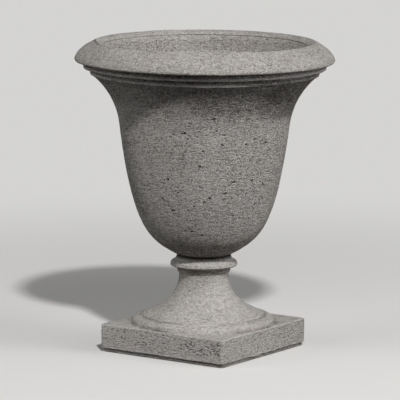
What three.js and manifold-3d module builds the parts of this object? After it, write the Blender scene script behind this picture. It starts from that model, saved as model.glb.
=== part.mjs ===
// Cast stone urn in millimetres, +Z up. The origin is the centre of the underside.
// The bell shaped bowl is one casting and the foot is another. The bowl's spigot drops
// into a socket in the foot, and three thin pads in the joint carry the bowl.
import * as THREE from "three";
import { mergeVertices } from "three/addons/utils/BufferGeometryUtils.js";
import Module from "manifold-3d";

const wasm = await Module();
wasm.setup();

// Fineness of round shapes
const roundSides = 40;
const pipeSides = 40;
const hoopSides = 24;
const tieSides = 16;
const wireSides = 8;
const bodySteps = 7;
const edgeSteps = 3;

// Clearances
const castingGap = 0.4; // steel or pipe to the stone cast round it
const lapGap = 0.3; // one bar laid against another
const endGap = 1; // the end of an insert to the face that it stops short of
const cutOverrun = 5; // how far a cutting shape runs past a face

// Plinth, and the low step that it stands on
const plinthSide = 349;
const plinthThickness = 57.5;
const plinthCornerRadius = 6;
const plinthEdgeRound = 3.5;
const stepHeight = 8.5;
const stepInset = 5;

// Round base moulding: a quarter round, a small riser and a sloping apron
const baseMargin = 4.5;
const quarterRoundWidth = 21.5;
const quarterRoundHeight = 16;
const riserWidth = 2;
const riserHeight = 2.5;
const apronWidth = 41.5;
const apronHeight = 19;

// Stem
const stemRadius = 58.5;
const stemFlareHeight = 73.5;
const stemStraightHeight = 9;
const stemFlareShares = [[0.42, 0.26], [0, 0.61]];

// Neck band and collar at the top of the stem
const neckBandWidth = 4.5;
const neckBandHeight = 11;
const neckBandDrop = 1;
const collarRadius = 79;
const collarUndercutWidth = 14;
const collarUndercutHeight = 3;
const collarEdgeRound = 4.5;
const collarEdgeHeight = 4;
const neckRadius = 64;
const neckCoveHeight = 16.5;
const neckCoveShares = [[1, 0.34], [0.13, 0.28]];

// Joint between the foot and the bowl
const padThickness = 3;
const padLength = 16;
const padWidth = 12;
const padCount = 3;
const spigotRadius = 45;
const spigotLength = 20;
const spigotChamfer = 3;
const socketClearance = 1.5;
const socketFloorGap = 4;
const seatEdgeInset = 0.5;

// Body of the bowl
const wallThickness = 40;
const floorThickness = 46;
const floorFall = 3;
const waistRadius = 198;
const waistHeight = 290;
const flareRadius = 265;
const flareHeight = 137;
const bellyShares = [[0.482, 0.124], [0.761, 0.187]];
const flareShares = [[0.032, 0.111], [0.03, 0.588]];

// Two fillets under the rim
const lowerFilletWidth = 4;
const lowerFilletHeight = 8;
const filletGrooveWidth = 6;
const filletGrooveHeight = 7;
const upperFilletWidth = 16;
const upperFilletHeight = 7.5;
const rimQuirkWidth = 6;
const rimQuirkHeight = 5.5;

// Rolled rim
const rimRadius = 305.25;
const rollLipWidth = 12;
const rollLipHeight = 7.5;
const rollHeight = 42.4;
const rollShares = [[0.93, 0.48], [0.14, 0.93]];
const crestRadius = 260;
const lipRadius = 240;
const lipDrop = 8.3;
const lipShares = [[0.62, 0.1], [0.3, 0.6]];
const lipEdgeHeight = 9;
const lipEdgeWidth = 1;

// Drain pipes
const bowlPipeRadius = 16.7;
const bowlPipeWall = 3.4;
const bowlPipeDip = 12;
const footPipeRadius = 24.2;
const footPipeWall = 3.7;

// Steel
const barRadius = 4;
const tieWireRadius = 2.5;
const barCount = 4;
const wallBarSteps = 18;
const wallBarTopInset = 16;
const wallBarBendRadius = 36;
const rimHoopShare = 17 / 18; // a hoop's place along a wall bar, counted up from the spigot
const waistHoopShare = 12 / 18;
const bellyHoopShare = 7 / 18;
const stemBarCover = 9;
const stemBarTopCover = 10;
const stemTieEndCover = 18;
const baseBarCover = 22;
const baseBarEndCover = 30;

// Radii and heights that follow from the sizes above
const quarterRoundRadius = plinthSide / 2 - baseMargin;
const riserRadius = quarterRoundRadius - quarterRoundWidth;
const apronRadius = riserRadius - riserWidth;
const kneeRadius = apronRadius - apronWidth;
const plinthTop = stepHeight + plinthThickness;
const riserFoot = plinthTop + quarterRoundHeight;
const apronFoot = riserFoot + riserHeight;
const kneeTop = apronFoot + apronHeight;
const flareTop = kneeTop + stemFlareHeight;
const stemTop = flareTop + stemStraightHeight;
const neckBandTop = stemTop + neckBandHeight;
const collarFoot = neckBandTop + collarUndercutHeight;
const collarTop = collarFoot + collarEdgeRound + collarEdgeHeight;
const footTop = collarTop + neckCoveHeight;
const seatTop = footTop + padThickness;
const socketRadius = spigotRadius + socketClearance;
const socketFloor = seatTop - spigotLength - socketFloorGap;
const seatRadius = neckRadius;
const footBoreRadius = footPipeRadius + castingGap;
const bowlBoreRadius = bowlPipeRadius + castingGap;
const stemBarCircle = footPipeRadius + stemBarCover + barRadius;
const barPitch = 2 * barRadius + lapGap;

// Heights in the bowl, counted up from its seat on the pads
const bodyTop = waistHeight + flareHeight;
const filletGrooveFoot = bodyTop + lowerFilletHeight;
const upperFilletFoot = filletGrooveFoot + filletGrooveHeight;
const quirkFoot = upperFilletFoot + upperFilletHeight;
const rollFoot = quirkFoot + rimQuirkHeight;
const rollShoulder = rollFoot + rollLipHeight;
const crestHeight = rollShoulder + rollHeight;
const lipHeight = crestHeight - lipDrop;

const stoneMaterial = () => new THREE.MeshStandardMaterial({ color: 0x9c9690, roughness: 0.92, metalness: 0 });
const steelMaterial = () => new THREE.MeshStandardMaterial({ color: 0x6f675f, roughness: 0.55, metalness: 0.8 });
const pipeMaterial = () => new THREE.MeshStandardMaterial({ color: 0x8d9093, roughness: 0.5, metalness: 0 });
const padMaterial = () => new THREE.MeshStandardMaterial({ color: 0x25221f, roughness: 0.85, metalness: 0 });

const point = (radius, height) => new THREE.Vector2(radius, height);

// Points of a curve from start to end. Each share pair places one handle between the two:
// 0 is the lesser radius and the start's height, 1 the greater radius and the end's height.
function curveBetween(start, end, shares, steps) {
  const lesser = Math.min(start.x, end.x);
  const width = Math.abs(end.x - start.x);
  const [first, second] = shares.map(([across, up]) =>
    point(lesser + across * width, start.y + up * (end.y - start.y)));
  return new THREE.CubicBezierCurve(start, first, second, end).getPoints(steps);
}

// Points of a quarter ellipse, both ends included
function quarterRound(centre, width, height, fromAngle, steps) {
  return Array.from({ length: steps + 1 }, (_, i) => {
    const angle = fromAngle + (i / steps) * (Math.PI / 2);
    return point(centre.x + width * Math.cos(angle), centre.y + height * Math.sin(angle));
  });
}

// Turns an outline of radius and height into a solid round the Z axis
function turned(outline, sides = roundSides) {
  return new THREE.LatheGeometry(outline, sides).rotateX(Math.PI / 2);
}

// A turned ring whose outline closes on itself
function turnedRing(outline, sides = roundSides) {
  return turned([...outline, outline[0]], sides);
}

function toSolid(geometry) {
  const bare = geometry.clone();
  bare.deleteAttribute("normal");
  bare.deleteAttribute("uv");
  const welded = mergeVertices(bare);
  const corners = [];
  for (let i = 0; i < welded.index.count; i += 3) {
    const [a, b, c] = [0, 1, 2].map((k) => welded.index.getX(i + k));
    if (a !== b && b !== c && c !== a) corners.push(a, b, c);
  }
  const vertProperties = new Float32Array(welded.attributes.position.array);
  const mesh = new wasm.Mesh({ numProp: 3, vertProperties, triVerts: new Uint32Array(corners) });
  return new wasm.Manifold(mesh);
}

function toGeometry(solid) {
  const mesh = solid.getMesh();
  const geometry = new THREE.BufferGeometry();
  geometry.setAttribute("position", new THREE.BufferAttribute(new Float32Array(mesh.vertProperties), 3));
  geometry.setIndex(new THREE.BufferAttribute(new Uint32Array(mesh.triVerts), 1));
  geometry.computeVertexNormals();
  return geometry;
}

function joined(first, ...others) {
  return others.reduce((solid, other) => solid.add(toSolid(other)), toSolid(first));
}

function cutBy(solid, cutters) {
  return cutters.reduce((left, cutter) => left.subtract(toSolid(cutter)), solid);
}

// An upright cylinder between two heights
function uprightRod(radius, low, high, sides) {
  const rod = new THREE.CylinderGeometry(radius, radius, high - low, sides).rotateX(Math.PI / 2);
  return rod.translate(0, 0, (low + high) / 2);
}

// A cutter's flats clear the round bar by the casting gap, so its corners lie further out
function roomAround(radius) {
  return (radius + castingGap) / Math.cos(Math.PI / wireSides);
}

// Corners of a wire's section
function roundSection(radius) {
  return Array.from({ length: wireSides }, (_, i) => {
    const angle = (i / wireSides) * 2 * Math.PI;
    return point(radius * Math.cos(angle), radius * Math.sin(angle));
  });
}

// A ring of round wire, level, with its wire's centre at the given radius and height
function wireRing(radius, height, wireRadius, sides) {
  const outline = roundSection(wireRadius).map((corner) => point(radius + corner.x, height + corner.y));
  return turnedRing(outline, sides);
}

function aroundAxis(count, startAngle = 0) {
  return Array.from({ length: count }, (_, i) => startAngle + (i * 2 * Math.PI) / count);
}

const barAngles = aroundAxis(barCount, Math.PI / barCount);

// Outside line of the bowl's body, from the seat's edge up to the fillets
function bodyLine() {
  const seatEdge = point(seatRadius, seatEdgeInset);
  const waist = point(waistRadius, waistHeight);
  const top = point(flareRadius, bodyTop);
  const belly = curveBetween(seatEdge, waist, bellyShares, bodySteps);
  const flare = curveBetween(waist, top, flareShares, bodySteps);
  return [...belly, ...flare.slice(1)];
}

// The body line moved in towards the bowl's hollow by a distance
function bodyLineInset(distance) {
  const line = bodyLine();
  return line.map((spot, i) => {
    const before = line[Math.max(i - 1, 0)];
    const after = line[Math.min(i + 1, line.length - 1)];
    const along = after.clone().sub(before).normalize();
    return point(spot.x - along.y * distance, spot.y + along.x * distance);
  });
}

function rimLine() {
  const filletRadius = flareRadius + lowerFilletWidth;
  const grooveRadius = filletRadius - filletGrooveWidth;
  const upperRadius = filletRadius + upperFilletWidth;
  const quirkRadius = upperRadius - rimQuirkWidth;
  const lipFoot = point(rimRadius - rollLipWidth, rollShoulder);
  const shoulder = point(rimRadius, rollShoulder);
  const crest = point(crestRadius, crestHeight);
  const lip = point(lipRadius, lipHeight);
  return [
    point(filletRadius, bodyTop),
    point(filletRadius, filletGrooveFoot),
    point(grooveRadius, filletGrooveFoot),
    point(grooveRadius, upperFilletFoot),
    point(upperRadius, upperFilletFoot),
    point(upperRadius, quirkFoot),
    point(quirkRadius, quirkFoot),
    point(quirkRadius, rollFoot),
    ...quarterRound(lipFoot, rollLipWidth, rollLipHeight, -Math.PI / 2, edgeSteps),
    ...curveBetween(shoulder, crest, rollShares, bodySteps).slice(1),
    ...curveBetween(crest, lip, lipShares, edgeSteps).slice(1),
    point(lipRadius - lipEdgeWidth, lipHeight - lipEdgeHeight),
  ];
}

function bowlOutline() {
  const floorHeight = floorThickness;
  const insideWall = bodyLineInset(wallThickness).filter((spot) => spot.y > floorHeight + floorFall);
  const drainEdge = point(bowlBoreRadius, floorHeight - floorFall);
  const floorEdge = point((insideWall[0].x + drainEdge.x) / 2, floorHeight - floorFall / 2);
  return [
    point(bowlBoreRadius, -spigotLength),
    point(spigotRadius - spigotChamfer, -spigotLength),
    point(spigotRadius, spigotChamfer - spigotLength),
    point(spigotRadius, 0),
    point(seatRadius - seatEdgeInset, 0),
    ...bodyLine(),
    ...rimLine(),
    ...insideWall.reverse(),
    floorEdge,
    drainEdge,
  ];
}

// Centre line of a wall bar, in the plane of the X and Z axes
function wallBarLine() {
  const spigotBarRadius = (bowlPipeRadius + spigotRadius) / 2;
  const bendEnd = spigotBarRadius + wallBarBendRadius;
  const inWall = bodyLineInset(wallThickness / 2 + barRadius).filter((spot) => spot.x > bendEnd);
  const spots = [
    point(spigotBarRadius, endGap - spigotLength),
    point(spigotBarRadius, 0),
    ...inWall,
    point(lipRadius + wallBarTopInset, rollShoulder + wallBarTopInset),
  ];
  const path = spots.map((spot) => new THREE.Vector3(spot.x, 0, spot.y));
  return new THREE.CatmullRomCurve3(path, false, "centripetal");
}

function sweptBar(line, radius) {
  const section = new THREE.Shape(roundSection(radius));
  return new THREE.ExtrudeGeometry(section, { extrudePath: line, steps: wallBarSteps, bevelEnabled: false });
}

// A short rod that carries a bar's cutter on past one end of the bar
function cutterEnd(line, share, radius, length) {
  const end = line.getPointAt(share);
  const along = line.getTangentAt(share);
  const plug = new THREE.CylinderGeometry(radius, radius, length, wireSides);
  const turn = new THREE.Quaternion().setFromUnitVectors(new THREE.Vector3(0, 1, 0), along);
  return plug.applyQuaternion(turn).translate(end.x, end.y, end.z);
}

// A hoop lies against the outside of the wall bars, at its share of their length
function hoopPlace(share) {
  const line = wallBarLine();
  const spot = line.getPointAt(share);
  const along = line.getTangentAt(share);
  return point(spot.x + along.z * barPitch, spot.z - along.x * barPitch);
}

function hoop(share, wireRadius) {
  const place = hoopPlace(share);
  return wireRing(place.x, place.y, wireRadius, hoopSides);
}

const hoopShares = { rim_hoop: rimHoopShare, waist_hoop: waistHoopShare, belly_hoop: bellyHoopShare };

function bowl() {
  const room = roomAround(barRadius);
  const line = wallBarLine();
  const barRoom = toGeometry(joined(
    sweptBar(line, room),
    cutterEnd(line, 0, room, 2 * cutOverrun),
    cutterEnd(line, 1, room, 2 * endGap),
  ));
  return cutBy(toSolid(turnedRing(bowlOutline())), [
    ...Object.values(hoopShares).map((share) => hoop(share, room)),
    ...barAngles.map((angle) => barRoom.clone().rotateZ(angle)),
  ]);
}

function footOutline() {
  const stemFoot = point(kneeRadius, kneeTop);
  const stemWaist = point(stemRadius, flareTop);
  const collarInside = collarRadius - collarUndercutWidth;
  const collarEdge = point(collarRadius - collarEdgeRound, collarFoot + collarEdgeRound);
  const coveFoot = point(collarRadius, collarTop);
  const neck = point(neckRadius, footTop);
  const inPlinth = plinthTop - quarterRoundHeight;
  return [
    point(0, inPlinth),
    point(quarterRoundRadius, inPlinth),
    ...quarterRound(point(riserRadius, plinthTop), quarterRoundWidth, quarterRoundHeight, 0, edgeSteps + 1),
    point(apronRadius, apronFoot),
    ...curveBetween(stemFoot, stemWaist, stemFlareShares, bodySteps),
    point(stemRadius, stemTop - neckBandDrop),
    point(stemRadius + neckBandWidth, stemTop),
    point(stemRadius + neckBandWidth, neckBandTop),
    point(collarInside, neckBandTop),
    point(collarRadius - collarEdgeRound, collarFoot),
    ...quarterRound(collarEdge, collarEdgeRound, collarEdgeRound, -Math.PI / 2, edgeSteps).slice(1),
    ...curveBetween(coveFoot, neck, neckCoveShares, edgeSteps + 1),
    point(0, footTop),
  ];
}

// A square slab with rounded corners, between two heights
function slab(side, low, high, cornerRadius, edgeRound) {
  const half = side / 2 - edgeRound;
  const corner = half - cornerRadius;
  const outline = new THREE.Shape();
  outline.absarc(corner, corner, cornerRadius, 0, Math.PI / 2);
  outline.absarc(-corner, corner, cornerRadius, Math.PI / 2, Math.PI);
  outline.absarc(-corner, -corner, cornerRadius, Math.PI, 1.5 * Math.PI);
  outline.absarc(corner, -corner, cornerRadius, 1.5 * Math.PI, 2 * Math.PI);
  const geometry = new THREE.ExtrudeGeometry(outline, {
    depth: high - low - 2 * edgeRound,
    curveSegments: 2,
    bevelEnabled: edgeRound > 0,
    bevelThickness: edgeRound,
    bevelSize: edgeRound,
    bevelSegments: 2,
  });
  return geometry.translate(0, 0, low + edgeRound);
}

function stemBar(radius, low) {
  return uprightRod(radius, low, socketFloor - stemBarTopCover, wireSides).translate(stemBarCircle, 0, 0);
}

const stemTieHeights = {
  stem_tie_lower: plinthTop + stemTieEndCover,
  stem_tie_upper: socketFloor - stemTieEndCover,
};

function stemTie(height, wireRadius) {
  const radius = stemBarCircle + barRadius + lapGap + tieWireRadius;
  return wireRing(radius, height, wireRadius, tieSides);
}

// The four base bars pass just outside the stem bars, two one way and two the other way on top
const baseBarOffset = stemBarCircle * Math.SQRT1_2 + barPitch;
const baseBarHeight = stepHeight + baseBarCover + barRadius;
const baseBarPlaces = [
  { turn: 0, side: 1, level: 0 },
  { turn: 0, side: -1, level: 0 },
  { turn: Math.PI / 2, side: 1, level: 1 },
  { turn: Math.PI / 2, side: -1, level: 1 },
];

function baseBar(place, radius, extraLength) {
  const length = plinthSide - 2 * baseBarEndCover + extraLength;
  const bar = new THREE.CylinderGeometry(radius, radius, length, wireSides).rotateZ(Math.PI / 2);
  bar.translate(0, place.side * baseBarOffset, baseBarHeight + place.level * barPitch);
  return bar.rotateZ(place.turn);
}

function foot() {
  const room = roomAround(barRadius);
  const tieRoom = roomAround(tieWireRadius);
  const stepSide = plinthSide - 2 * stepInset;
  const stone = joined(
    slab(plinthSide, stepHeight, plinthTop, plinthCornerRadius, plinthEdgeRound),
    slab(stepSide, 0, stepHeight + plinthEdgeRound, plinthCornerRadius, 0),
    turned(footOutline()),
  );
  return cutBy(stone, [
    uprightRod(socketRadius, socketFloor, footTop + cutOverrun, roundSides),
    uprightRod(footBoreRadius, -cutOverrun, socketFloor + cutOverrun, pipeSides),
    ...barAngles.map((angle) => stemBarRoom(room).rotateZ(angle)),
    ...Object.values(stemTieHeights).map((height) => stemTie(height, tieRoom)),
    ...baseBarPlaces.map((place) => baseBar(place, room, 2 * castingGap)),
  ]);
}

function stemBarRoom(room) {
  const high = socketFloor - stemBarTopCover + castingGap;
  return uprightRod(room, -cutOverrun, high, wireSides).translate(stemBarCircle, 0, 0);
}

function drainPipe(radius, wall, low, high) {
  return turnedRing([
    point(radius - wall, low),
    point(radius, low),
    point(radius, high),
    point(radius - wall, high),
  ], pipeSides);
}

function settingPad() {
  const pad = new THREE.BoxGeometry(padWidth, padLength, padThickness);
  return pad.translate((socketRadius + neckRadius) / 2, 0, footTop + padThickness / 2);
}

function piece(parent, name, geometry, material, turn = 0) {
  const mesh = new THREE.Mesh(geometry, material);
  mesh.name = name;
  mesh.rotation.z = turn;
  parent.add(mesh);
}

function footGroup() {
  const group = new THREE.Group();
  piece(group, "foot", toGeometry(foot()), stoneMaterial());
  piece(group, "foot_drain_pipe", drainPipe(footPipeRadius, footPipeWall, endGap, socketFloor), pipeMaterial());
  barAngles.forEach((angle, i) => {
    piece(group, `stem_bar_${i + 1}`, stemBar(barRadius, endGap), steelMaterial(), angle);
  });
  for (const [name, height] of Object.entries(stemTieHeights)) {
    piece(group, name, stemTie(height, tieWireRadius), steelMaterial());
  }
  baseBarPlaces.forEach((place, i) => {
    piece(group, `base_bar_${i + 1}`, baseBar(place, barRadius, 0), steelMaterial());
  });
  aroundAxis(padCount, Math.PI / 2).forEach((angle, i) => {
    piece(group, `setting_pad_${i + 1}`, settingPad(), padMaterial(), angle);
  });
  return group;
}

function bowlGroup() {
  const group = new THREE.Group();
  const pipeFoot = -spigotLength - bowlPipeDip;
  const pipeTop = floorThickness - floorFall - endGap;
  piece(group, "bowl", toGeometry(bowl()), stoneMaterial());
  piece(group, "bowl_drain_pipe", drainPipe(bowlPipeRadius, bowlPipeWall, pipeFoot, pipeTop), pipeMaterial());
  for (const [name, share] of Object.entries(hoopShares)) {
    piece(group, name, hoop(share, barRadius), steelMaterial());
  }
  barAngles.forEach((angle, i) => {
    piece(group, `wall_bar_${i + 1}`, sweptBar(wallBarLine(), barRadius), steelMaterial(), angle);
  });
  group.position.z = seatTop;
  return group;
}

const urn = new THREE.Group();
urn.add(footGroup(), bowlGroup());

export default urn;
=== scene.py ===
import bpy
import bmesh
import math
import numpy as np
from mathutils import Matrix, Vector
from mathutils.kdtree import KDTree


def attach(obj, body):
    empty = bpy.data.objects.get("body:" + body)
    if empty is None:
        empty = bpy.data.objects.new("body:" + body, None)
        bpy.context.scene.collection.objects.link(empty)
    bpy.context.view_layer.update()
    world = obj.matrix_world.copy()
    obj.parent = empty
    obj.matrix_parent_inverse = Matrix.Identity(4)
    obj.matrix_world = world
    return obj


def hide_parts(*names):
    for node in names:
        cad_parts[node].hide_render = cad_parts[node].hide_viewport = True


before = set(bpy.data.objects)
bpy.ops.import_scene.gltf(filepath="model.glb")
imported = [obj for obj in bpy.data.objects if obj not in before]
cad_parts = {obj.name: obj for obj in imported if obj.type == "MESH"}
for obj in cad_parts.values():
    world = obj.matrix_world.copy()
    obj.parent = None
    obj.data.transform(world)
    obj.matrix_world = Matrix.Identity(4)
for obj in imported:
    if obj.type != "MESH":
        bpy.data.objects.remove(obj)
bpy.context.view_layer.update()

scene = bpy.context.scene
mm = 0.001
print("frame loaded:", len(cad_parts), "nodes")


# Camera. Its azimuth is counted from the middle of the plinth's front side.
cameraSettings = {
    "lens": 278.43,
    "sensor": 36.0,
    "distance": 7.2164,
    "height": 1.4505,
    "azimuth": 34.68,
    "pitchDown": 8.624,
    "roll": 0.296,
    "shiftX": -0.0103,
    "clipEnd": 200,
}


def placeCamera(settings):
    data = bpy.data.cameras.new("viewCamera")
    data.lens = settings["lens"]
    data.sensor_width = settings["sensor"]
    data.shift_x = settings["shiftX"]
    data.clip_end = settings["clipEnd"]
    camera = bpy.data.objects.new("viewCamera", data)
    scene.collection.objects.link(camera)
    turn = math.radians(settings["azimuth"])
    down = math.radians(settings["pitchDown"])
    away = settings["distance"]
    forward = Vector((-math.sin(turn) * math.cos(down), math.cos(turn) * math.cos(down), -math.sin(down)))
    right = Vector((math.cos(turn), math.sin(turn), 0))
    up = right.cross(forward)
    roll = Matrix.Rotation(math.radians(settings["roll"]), 3, "Z")
    basis = Matrix((right, up, -forward)).transposed() @ roll
    place = Vector((away * math.sin(turn), -away * math.cos(turn), settings["height"]))
    camera.matrix_world = Matrix.Translation(place) @ basis.to_4x4()
    scene.camera = camera


placeCamera(cameraSettings)
print("camera placed")


# Outlines are lists of (radius, height, rounding) in millimetres. Rounding softens a corner.
def curveBetween(start, end, shares, steps):
    # shares place two handles: 0 is the lesser radius and the start's height, 1 the greater and the end's
    lesser = min(start[0], end[0])
    width = abs(end[0] - start[0])
    rise = end[1] - start[1]
    handles = [(lesser + across * width, start[1] + upward * rise) for across, upward in shares]
    spots = (start, handles[0], handles[1], end)
    points = []
    for i in range(steps + 1):
        t = i / steps
        weights = ((1 - t) ** 3, 3 * t * (1 - t) ** 2, 3 * t * t * (1 - t), t ** 3)
        points.append(tuple(sum(w * s[k] for w, s in zip(weights, spots)) for k in (0, 1)) + (0,))
    return points


def arcBetween(centre, width, height, fromDegrees, toDegrees, steps):
    angles = np.radians(np.linspace(fromDegrees, toDegrees, steps + 1))
    return [(centre[0] + width * math.cos(a), centre[1] + height * math.sin(a), 0) for a in angles]


def insetLine(line, distance):
    moved = []
    for i, spot in enumerate(line):
        before = line[max(i - 1, 0)]
        after = line[min(i + 1, len(line) - 1)]
        along = np.subtract(after[:2], before[:2])
        along = along / np.linalg.norm(along)
        moved.append((spot[0] - along[1] * distance, spot[1] + along[0] * distance, 0))
    return moved


def softened(line, steps=4, mostOfSide=0.45):
    # a closed outline with its corners rounded: (radius, height, how much of an edge it is)
    points = []
    for i, spot in enumerate(line):
        here = np.array(spot[:2], float)
        rounding = spot[2]
        if not rounding:
            points.append((here[0], here[1], 0.0))
            continue
        before = np.array(line[i - 1][:2], float) - here
        after = np.array(line[(i + 1) % len(line)][:2], float) - here
        reach = min(rounding, mostOfSide * np.linalg.norm(before), mostOfSide * np.linalg.norm(after))
        start = here + before / np.linalg.norm(before) * reach
        end = here + after / np.linalg.norm(after) * reach
        outward = before[0] * after[1] - before[1] * after[0] < 0
        for k in range(steps + 1):
            t = k / steps
            place = (1 - t) ** 2 * start + 2 * t * (1 - t) * here + t * t * end
            points.append((place[0], place[1], float(outward) * math.sin(math.pi * (k + 0.5) / (steps + 1))))
    return points


def divided(line, longestAt):
    # splits the outline's segments so that none is longer than longestAt(radius, height)
    points = []
    for i, spot in enumerate(line):
        after = line[(i + 1) % len(line)]
        length = math.hypot(after[0] - spot[0], after[1] - spot[1])
        middle = ((spot[0] + after[0]) / 2, (spot[1] + after[1]) / 2)
        count = max(1, math.ceil(length / longestAt(*middle)))
        for k in range(count):
            t = k / count
            place = [spot[j] + (after[j] - spot[j]) * t for j in (0, 1)]
            points.append((*place, spot[2] if k == 0 else 0.0))
    return points


# Smooth random values from -1 to 1, with features about as wide as size
noiseLength = 8192
noiseTable = np.random.default_rng(41).uniform(-1, 1, noiseLength)
cellSteps = (73856093, 19349663, 83492791)  # large, so that neighbouring cells fall far apart in the table
seedShift = 17.3
seedStep = 977


def unevenness(points, size, seed):
    spots = points / size + seed * seedShift
    cells = np.floor(spots).astype(np.int64)
    parts = spots - cells
    parts = parts * parts * (3 - 2 * parts)
    total = np.zeros(len(points))
    for corner in np.ndindex(2, 2, 2):
        weight = np.prod(np.where(corner, parts, 1 - parts), axis=1)
        key = np.bitwise_xor.reduce((cells + corner) * cellSteps, axis=1)
        total += weight * noiseTable[(key + seed * seedStep) % noiseLength]
    return total


def ragged(rings, s):
    # a share that comes and goes over the skin
    plain, uneven, size, seed = s["ragged"]
    return plain + uneven * unevenness(rings.reshape(-1, 3), size, seed).reshape(rings.shape[:2])


def smoothStep(low, high, values):
    t = np.clip((values - low) / (high - low), 0, 1)
    return t * t * (3 - 2 * t)


def within(limits, values):
    start, full, still, end = limits
    return smoothStep(start, full, values) * smoothStep(end, still, values)


def wrapped(degrees):
    return (degrees + 180) % 360 - 180


def reachOf(rings):
    return np.hypot(rings[..., 0], rings[..., 1])


def rightOfFront(rings):
    # degrees to the right of the side that the camera faces
    return wrapped(np.degrees(np.arctan2(rings[..., 1], rings[..., 0])) - cameraSettings["azimuth"] + 90)


def onCircle(radius, turn):
    return radius * math.cos(turn), radius * math.sin(turn)


def turnedRings(outline, angles):
    radii, heights = np.array([spot[:2] for spot in outline]).T
    angles = np.broadcast_to(angles, (len(outline), np.shape(angles)[-1]))
    rings = np.empty((*angles.shape, 3))
    rings[..., 0] = radii[:, None] * np.cos(angles)
    rings[..., 1] = radii[:, None] * np.sin(angles)
    rings[..., 2] = heights[:, None]
    return rings


def ringNormals(rings):
    along = np.roll(rings, -1, axis=0) - np.roll(rings, 1, axis=0)
    across = np.roll(rings, -1, axis=1) - np.roll(rings, 1, axis=1)
    normals = np.cross(across, along)
    leastLength = 1e-9
    return normals / np.maximum(np.linalg.norm(normals, axis=-1, keepdims=True), leastLength)


chips = {"size": 13, "seed": 9, "limits": (0.1, 0.8)}  # alike on both castings


def weather(rings, edges, settings):
    # hand-made unevenness of the whole skin, and wear on its outward edges
    normals = ringNormals(rings)
    flat = rings.reshape(-1, 3)
    waves = enumerate(settings["swells"], 1)
    swell = sum(amount * unevenness(flat, size, seed) for seed, (size, amount) in waves)
    chipped = smoothStep(*chips["limits"], unevenness(flat, chips["size"], chips["seed"]))
    worn = edges.reshape(-1) * (settings["edgeWear"] + settings["edgeChips"] * chipped)
    moved = flat + normals.reshape(-1, 3) * (swell - worn)[:, None]
    mostWorn = settings["edgeWear"] + settings["edgeChips"]
    return moved.reshape(rings.shape), np.clip(worn / mostWorn, 0, 1).reshape(edges.shape)


def gridObject(name, rings, attributes):
    # a closed skin: rings run round the axis, and the last ring joins the first
    rows, columns = rings.shape[:2]
    index = np.arange(rows * columns).reshape(rows, columns)
    right = np.roll(index, -1, axis=1)
    onward = [np.roll(corner, -1, axis=0) for corner in (right, index)]
    faces = np.stack([index, right, *onward], axis=-1).reshape(-1, 4)
    mesh = bpy.data.meshes.new(name)
    mesh.vertices.add(rows * columns)
    mesh.vertices.foreach_set("co", (rings.reshape(-1) * mm).astype(np.float32))
    mesh.loops.add(faces.size)
    mesh.loops.foreach_set("vertex_index", faces.reshape(-1).astype(np.int32))
    mesh.polygons.add(len(faces))
    mesh.polygons.foreach_set("loop_start", np.arange(0, faces.size, 4, dtype=np.int32))
    mesh.polygons.foreach_set("use_smooth", np.ones(len(faces), bool))
    mesh.update(calc_edges=True)
    mesh.validate()
    for key, values in attributes.items():
        layer = mesh.attributes.new(key, "FLOAT", "POINT")
        layer.data.foreach_set("value", values.reshape(-1).astype(np.float32))
    made = bpy.data.objects.new(name, mesh)
    scene.collection.objects.link(made)
    return made


carving = {
    "margin": 2,  # the skin is divided this far round a hole
    "cuts": 2,
    "fullness": 0.6,  # the lower, the steeper a hole's walls
    "darkDepths": (0.1, 1.2),
}


def carve(piece, pits):
    # sinks air holes into a skin: pits are rows of x, y, z, width, height, depth in millimetres
    mesh = piece.data
    form = bmesh.new()
    form.from_mesh(mesh)
    tree = KDTree(len(pits))
    for i, pit in enumerate(pits):
        tree.insert(pit[:3], i)
    tree.balance()
    edges = set()
    for face in form.faces:
        spot, which, distance = tree.find(face.calc_center_median() / mm)
        if distance < pits[which][3] / 2 + carving["margin"]:
            edges.update(face.edges)
    bmesh.ops.subdivide_edges(form, edges=list(edges), cuts=carving["cuts"], use_grid_fill=True)
    form.to_mesh(mesh)
    form.free()
    places = np.zeros(len(mesh.vertices) * 3, np.float32)
    outward = np.zeros(len(mesh.vertices) * 3, np.float32)
    mesh.vertices.foreach_get("co", places)
    mesh.vertices.foreach_get("normal", outward)
    places = places.reshape(-1, 3) / mm
    sunk = np.zeros(len(places))
    reach = max(pit[3] for pit in pits) / 2
    for i, place in enumerate(places):
        for spot, which, distance in tree.find_range(place, reach):
            x, y, z, width, height, depth = pits[which]
            across = math.hypot(place[0] - x, place[1] - y) / (width / 2)
            upward = (place[2] - z) / (height / 2)
            share = across * across + upward * upward
            if share < 1:
                sunk[i] = max(sunk[i], depth * (1 - share) ** carving["fullness"])
    places -= outward.reshape(-1, 3) * sunk[:, None]
    mesh.vertices.foreach_set("co", (places * mm).reshape(-1).astype(np.float32))
    # the deeper a hole sinks, the darker it is coloured: painted shade in the hole
    hole = mesh.attributes.new("hole", "FLOAT", "POINT")
    hole.data.foreach_set("value", smoothStep(*carving["darkDepths"], sunk).astype(np.float32))
    mesh.polygons.foreach_set("use_smooth", np.ones(len(mesh.polygons), bool))
    mesh.update()


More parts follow.
